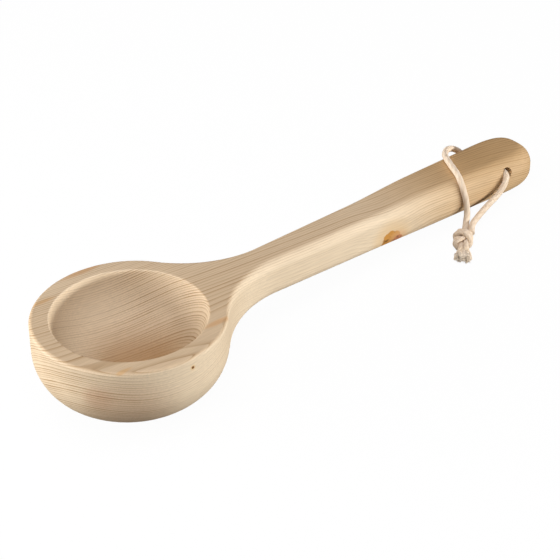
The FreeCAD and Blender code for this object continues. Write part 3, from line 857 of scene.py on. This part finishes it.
        # it waves more and more towards its tip, and never goes into the floor
        bend = add_node(tree, "ShaderNodeTexNoise", place, sockets={
            "Scale": self.waves / MM, "Detail": 2.0, "Roughness": 0.6}).outputs["Color"]
        bend = add_node(tree, "ShaderNodeVectorMath", bend, (0.5, 0.5, 0.5), operation="SUBTRACT").outputs[0]
        amount = add_node(tree, "ShaderNodeMath", given["Wander"], share, operation="MULTIPLY").outputs[0]
        bend = add_node(tree, "ShaderNodeVectorMath", bend, sockets={"Scale": amount},
                        operation="SCALE").outputs[0]
        place = add_node(tree, "ShaderNodeVectorMath", place, bend, operation="ADD").outputs[0]
        x, y, z = add_node(tree, "ShaderNodeSeparateXYZ", place).outputs
        z = add_node(tree, "ShaderNodeMath", z, given["Fibre Radius"], operation="MAXIMUM").outputs[0]
        place = add_node(tree, "ShaderNodeCombineXYZ", x, y, z).outputs[0]
        fibres = add_node(tree, "GeometryNodeSetPosition", fibres, sockets={"Position": place}).outputs[0]
        fibres = add_node(tree, "GeometryNodeStoreNamedAttribute", fibres, sockets={
            "Name": "along", "Value": share}).outputs[0]
        outline = add_node(tree, "GeometryNodeCurvePrimitiveCircle", self.fibre_sides, sockets={
            "Radius": given["Fibre Radius"]}).outputs[0]
        fibres = add_node(tree, "GeometryNodeCurveToMesh", fibres, outline, sockets={
            "Fill Caps": True}).outputs[0]
        fibres = add_node(tree, "GeometryNodeRealizeInstances", fibres).outputs[0]
        fibres = add_node(tree, "GeometryNodeSetMaterial", fibres, sockets={
            "Material": given["Material"]}).outputs[0]
        add_node(tree, "NodeGroupOutput", fibres)
        return tree

    def tuft(self, end: LooseEnd, tree: Tree, material: bpy.types.Material) -> bpy.types.Object:
        """Fray one end.

        Args:
            end: which of the two.
            tree: the node group.
            material: the fibres' finish.

        Returns:
            The tuft, a plain mesh.
        """
        name = "frayed_end_" + end.name.lower()
        points = self.left_end if end is LooseEnd.LEFT else self.right_end
        line = Strand(self.place(points), self.radius).line(name + "_line")
        fray = line.modifiers.new("fray", "NODES")
        fray.node_group = tree
        inputs = {item.name: item.identifier for item in tree.interface.items_tree if item.in_out == "INPUT"}
        for key, value in (("Fibres", self.fibres), ("Root Radius", 0.9 * self.radius * MM),
                           ("Tip Radius", self.tuft_radius * MM), ("Fibre Radius", self.fibre_radius * MM),
                           ("Wander", self.wander * MM), ("Seed", end.value), ("Material", material)):
            fray[inputs[key]] = value
        mesh = baked(line, name)
        bpy.data.objects.remove(line)
        return show(name, mesh)

    def build(self) -> list[bpy.types.Object]:
        """Make the knot and its two frayed ends.

        Returns:
            The pieces that the cord carries.
        """
        shape = bmesh.new()
        for points in (self.left, self.right):
            mesh, _ = Strand(self.place(points), self.radius, pitch=self.pitch).mesh("knot_strand")
            shape.from_mesh(mesh)
            bpy.data.meshes.remove(mesh)
        mesh = bpy.data.meshes.new("cord_knot")
        shape.to_mesh(mesh)
        shape.free()
        knot = show("cord_knot_tied", mesh, self.finish.material())
        tree = self.fraying()
        material = self.frayed.material()
        ends = [self.tuft(end, tree, material) for end in LooseEnd]
        for piece in (knot, *ends):
            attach(piece, "root")
            log.info("%s: %d faces", piece.name, len(piece.data.polygons))
        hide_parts("cord_knot")
        return [knot, *ends]


@dataclass
class RoundedEnd:
    """The handle's last stretch, where its edges grow into a dome that fills the hand.

    Level millimetres. Upright profiles stand along the near side, round the tip
    and back along the far side, each a quarter oval above and one below. The
    tip's plan is a quarter of a superellipse on each side. The plain end is cut
    off a joint's length before the first profile, and the two are bridged.
    """

    rest: RestingPlace
    start: float = 186.5
    reach: float = 345.3
    underside: float = 26.5
    plain_height: float = 13.5
    plain_width: float = 14.964
    plain_round: float = 7.0
    taper: float = 0.02505
    swell_from: float = 188.0
    swell_to: float = 248.0
    wider: float = 3.4
    higher: float = 0.8
    side_round: float = 11.0
    upright_round: float = 12.5
    tip_round: float = 9.0
    tip_length: float = 32.0
    tip_power: float = 3.0
    step: float = 3.0
    arc_steps: int = 10
    tip_steps: int = 24
    hole: tuple[float, float] = (312.0, 44.2)
    hole_slant: float = math.radians(8.5)
    hole_radius: float = 4.0
    drill_length: float = 80.0
    drill_sides: int = 48
    joint: float = 1.5

    def grown(self, x: float) -> float:
        """How far the end has swollen at x, from 0 to 1."""
        share = min(1.0, max(0.0, (x - self.swell_from) / (self.swell_to - self.swell_from)))
        return share * share * (3 - 2 * share)

    def half_width(self, x: float) -> float:
        """Half the handle's width at x."""
        return self.plain_width + self.taper * (x - self.start) + self.wider * self.grown(x)

    def profile(self, x: float, turn: float) -> list[Vector]:
        """One upright profile, from the top's middle line to the bottom's.

        Args:
            x: where the profile stands, no further than the tip's start.
            turn: how far round the tip it stands: 0 on the side, 90 degrees on the middle line.

        Returns:
            Points in level millimetres on the near side.
        """
        grown = self.grown(x)
        half_height = self.plain_height + self.higher * grown
        inward = self.plain_round + (self.side_round - self.plain_round) * grown
        upright = self.plain_round + (self.upright_round - self.plain_round) * grown
        out = math.cos(turn) ** (2 / self.tip_power)
        ahead = abs(math.sin(turn)) ** (2 / self.tip_power)
        upper = [Vector((x, 0, half_height))]
        for i in range(self.arc_steps + 1):
            angle = math.radians(90 - 90 * i / self.arc_steps)
            back = 1 - math.cos(angle)
            upper.append(Vector((x + ahead * (self.tip_length - self.tip_round * back),
                                 -out * (self.half_width(x) - inward * back),
                                 half_height - upright * (1 - math.sin(angle)))))
        lower = [Vector((point.x, point.y, -point.z)) for point in reversed(upper)]
        middle = Vector((0, 0, self.underside + half_height))
        return [point + middle for point in upper + lower]

    def rows(self) -> list[list[Vector]]:
        """All the profiles, down the near side, round the tip and up the far side.

        Returns:
            Rows of points in level millimetres.
        """
        tip_start = self.reach - self.tip_length
        count = round((tip_start - self.start) / self.step)
        near = [self.profile(self.start + (tip_start - self.start) * i / count, 0) for i in range(count)]
        near += [self.profile(tip_start, math.pi / 2 * i / self.tip_steps) for i in range(self.tip_steps)]
        nose = self.profile(tip_start, math.pi / 2)
        far = [[Vector((point.x, -point.y, point.z)) for point in row] for row in reversed(near)]
        return [*near, nose, *far]

    def add_to(self, shape: bmesh.types.BMesh) -> None:
        """Cut the plain end off and bridge this one on.

        Args:
            shape: the ladle's shape in metres, changed in place.
        """
        place = self.rest.matrix()
        along = (place.to_3x3() @ Vector((1, 0, 0))).normalized()
        bmesh.ops.bisect_plane(shape, geom=[*shape.verts, *shape.edges, *shape.faces], dist=WELD / 10,
                               plane_co=place @ Vector((self.start - self.joint, 0, 0)), plane_no=along,
                               clear_outer=True)
        rows = [[shape.verts.new(place @ point) for point in row] for row in self.rows()]
        fresh = [vert for row in rows for vert in row]
        for row, following in zip(rows, rows[1:]):
            for i in range(len(row) - 1):
                shape.faces.new((row[i], following[i], following[i + 1], row[i + 1]))
        bmesh.ops.remove_doubles(shape, verts=fresh, dist=WELD)
        open_edges = [edge for edge in shape.edges if edge.is_boundary]
        bmesh.ops.bridge_loops(shape, edges=open_edges)
        bmesh.ops.recalc_face_normals(shape, faces=shape.faces[:])

    def drill(self) -> bpy.types.Object:
        """A cylinder the size of the cord's hole, to cut with.

        Returns:
            The cutter.
        """
        shape = bmesh.new()
        turn = Matrix.Rotation(math.pi / 2 - self.hole_slant, 4, "X")
        spot = Matrix.Translation((self.hole[0], 0, self.hole[1])) @ turn
        bmesh.ops.create_cone(shape, cap_ends=True, segments=self.drill_sides, radius1=self.hole_radius,
                              radius2=self.hole_radius, depth=self.drill_length,
                              matrix=self.rest.matrix() @ spot)
        mesh = bpy.data.meshes.new("drill")
        shape.to_mesh(mesh)
        shape.free()
        return show("drill", mesh)


@dataclass
class Ladle:
    """The wooden piece: a copy of its solid, with a rounder end on the handle, in bare spruce."""

    wood: SpruceWood
    end: RoundedEnd
    sharp: float = math.radians(32)

    def build(self) -> bpy.types.Object:
        """Make the ladle.

        Returns:
            The piece that stands for the solid.
        """
        shape = bmesh.new()
        shape.from_mesh(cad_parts["ladle"].data)
        bmesh.ops.remove_doubles(shape, verts=shape.verts[:], dist=WELD)
        self.end.add_to(shape)
        mesh = bpy.data.meshes.new("ladle_blank")
        shape.to_mesh(mesh)
        shape.free()
        blank = show("ladle_blank", mesh)
        drill = self.end.drill()
        cut = blank.modifiers.new("hole", "BOOLEAN")
        cut.operation, cut.solver, cut.object = "DIFFERENCE", "EXACT", drill
        drilled = baked(blank, "ladle_drilled")
        for piece in (blank, drill):
            bpy.data.objects.remove(piece)
        return self.finished(drilled)

    def finished(self, mesh: bpy.types.Mesh) -> bpy.types.Object:
        """Args:
            mesh: the finished shape.

        Returns:
            The piece.
        """
        shape = bmesh.new()
        shape.from_mesh(mesh)
        for face in shape.faces:
            face.smooth = True
        for edge in shape.edges:
            edge.smooth = edge.calc_face_angle(0.0) < self.sharp
        shape.to_mesh(mesh)
        shape.free()
        source = show("ladle_source", mesh)
        even = source.modifiers.new("even", "WEIGHTED_NORMAL")
        even.keep_sharp = True
        even.weight = 80
        piece = show("ladle_turned", baked(source, "ladle_turned"))
        bpy.data.objects.remove(source)
        piece.data.materials.clear()
        piece.data.materials.append(self.wood.material())
        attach(piece, "root")
        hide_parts("ladle")
        log.info("ladle_turned: %d faces", len(piece.data.polygons))
        return piece


@dataclass
class PhotoCamera:
    """The camera, placed by the ladle's level frame: it looks from the bowl's near left."""

    rest: RestingPlace
    azimuth: float = -38.85
    elevation: float = 33.76
    roll: float = -0.47
    distance: float = 1118.61
    focal_px: float = 1796.3
    frame_px: int = 560
    aim: tuple[float, float, float] = (0.0, 0.0, 53.5)
    aim_px: tuple[float, float] = (128.93, 314.02)
    sensor: float = 36.0
    clip: tuple[float, float] = (0.05, 20.0)

    def build(self) -> bpy.types.Object:
        """Place the camera so that the rim's middle falls where the picture has it.

        Returns:
            The camera.
        """
        azimuth, elevation, roll = (math.radians(v) for v in (self.azimuth, self.elevation, self.roll))
        back = Vector((math.sin(azimuth) * math.cos(elevation), -math.cos(azimuth) * math.cos(elevation),
                       math.sin(elevation)))
        level_right = Vector((math.cos(azimuth), math.sin(azimuth), 0))
        level_up = back.cross(level_right)
        right = level_right * math.cos(roll) + level_up * math.sin(roll)
        up = level_up * math.cos(roll) - level_right * math.sin(roll)
        half = self.frame_px / 2
        aside = (self.aim_px[0] - half) / self.focal_px * self.distance
        below = (self.aim_px[1] - half) / self.focal_px * self.distance
        eye = Vector(self.aim) + back * self.distance - right * aside + up * below
        turn = Matrix.Rotation(self.rest.tilt, 3, "Y") @ Matrix((right, up, back)).transposed()
        data = bpy.data.cameras.new("camera")
        data.sensor_width = self.sensor
        data.lens = self.sensor * self.focal_px / self.frame_px
        data.clip_start, data.clip_end = self.clip
        camera = show("camera", data)
        camera.matrix_world = Matrix.Translation(self.rest.place(tuple(eye))) @ turn.to_4x4()
        bpy.context.scene.camera = camera
        return camera


@dataclass(frozen=True)
class Softbox:
    """One soft lamp: where it stands, how wide and high it is and how strong, in metres and watts."""

    name: str
    place: tuple[float, float, float]
    width: float
    height: float
    watts: float
    colour: str = "#ffffff"


@dataclass
class Studio:
    """Plain pale floor, pale surroundings and soft lamps."""

    floor_size: float = 6.0
    sky: float = 0.22
    sky_colour: str = "#fff0e2"
    paper: float = 0.16
    glow: float = 1.21
    glow_share: float = 0.8
    lamps: tuple[Softbox, ...] = (
        Softbox("right_softbox", (0.80, -1.12, 0.04), 1.3, 0.06, 18.5),
        Softbox("left_softbox", (-1.10, 0.57, 0.24), 1.2, 0.38, 18.0),
        Softbox("top_softbox", (-0.25, -0.2, 1.4), 1.6, 1.6, 17.0, "#f4f6ff"),
    )

    def build(self) -> None:
        """Make the floor, the surroundings and the lamps."""
        shape = bmesh.new()
        bmesh.ops.create_grid(shape, x_segments=1, y_segments=1, size=self.floor_size / 2)
        mesh = bpy.data.meshes.new("floor")
        shape.to_mesh(mesh)
        shape.free()
        show("floor", mesh, self.floor_finish())
        self.surroundings()
        for lamp in self.lamps:
            data = bpy.data.lights.new(lamp.name, "AREA")
            data.shape = "RECTANGLE"
            data.size, data.size_y = lamp.width, lamp.height
            data.energy = lamp.watts
            data.color = linear(lamp.colour)[:3]
            box = show(lamp.name, data)
            box.location = lamp.place
            box.rotation_euler = (-Vector(lamp.place)).to_track_quat("-Z", "Y").to_euler()

    def floor_finish(self) -> bpy.types.Material:
        """White paper: the camera sees it near white, and it keeps a faint shadow.

        Returns:
            The material.
        """
        material, tree, output = new_material("white_paper_floor")
        paper = add_node(tree, "ShaderNodeBsdfDiffuse", (self.paper, self.paper, self.paper, 1))
        glow = add_node(tree, "ShaderNodeEmission", (1, 1, 1, 1), self.glow)
        rays = add_node(tree, "ShaderNodeLightPath").outputs
        seen = add_node(tree, "ShaderNodeMath", rays["Is Camera Ray"], self.glow_share,
                        operation="MULTIPLY").outputs[0]
        both = add_node(tree, "ShaderNodeMixShader", seen, paper.outputs[0], glow.outputs[0])
        tree.links.new(both.outputs[0], output.inputs[0])
        return material

    def surroundings(self) -> None:
        """A pale room for the light, and plain white behind."""
        world = bpy.data.worlds.new("pale_room")
        world.use_nodes = True
        tree = world.node_tree
        tree.nodes.clear()
        rays = add_node(tree, "ShaderNodeLightPath").outputs
        room = add_node(tree, "ShaderNodeBackground", linear(self.sky_colour), self.sky)
        behind = add_node(tree, "ShaderNodeBackground", (1, 1, 1, 1), 1.0)
        sky = add_node(tree, "ShaderNodeMixShader", rays["Is Camera Ray"], room.outputs[0],
                       behind.outputs[0])
        tree.links.new(sky.outputs[0], add_node(tree, "ShaderNodeOutputWorld").inputs[0])
        bpy.context.scene.world = world


def main() -> None:
    """Build the pieces in order; the knot, its ends and the ladle log their face counts."""
    logging.basicConfig(level=logging.INFO, format="%(name)s: %(message)s")
    rest = RestingPlace()
    bpy.context.scene.view_settings.view_transform = "Standard"
    PhotoCamera(rest).build()
    cotton = CottonCord()
    knot = CordKnot(cotton, FrayedCotton()).build()
    HangingCord(cotton).build(knot)
    Ladle(SpruceWood(rest), RoundedEnd(rest)).build()
    Studio().build()


if __name__ == "__main__":
    main()
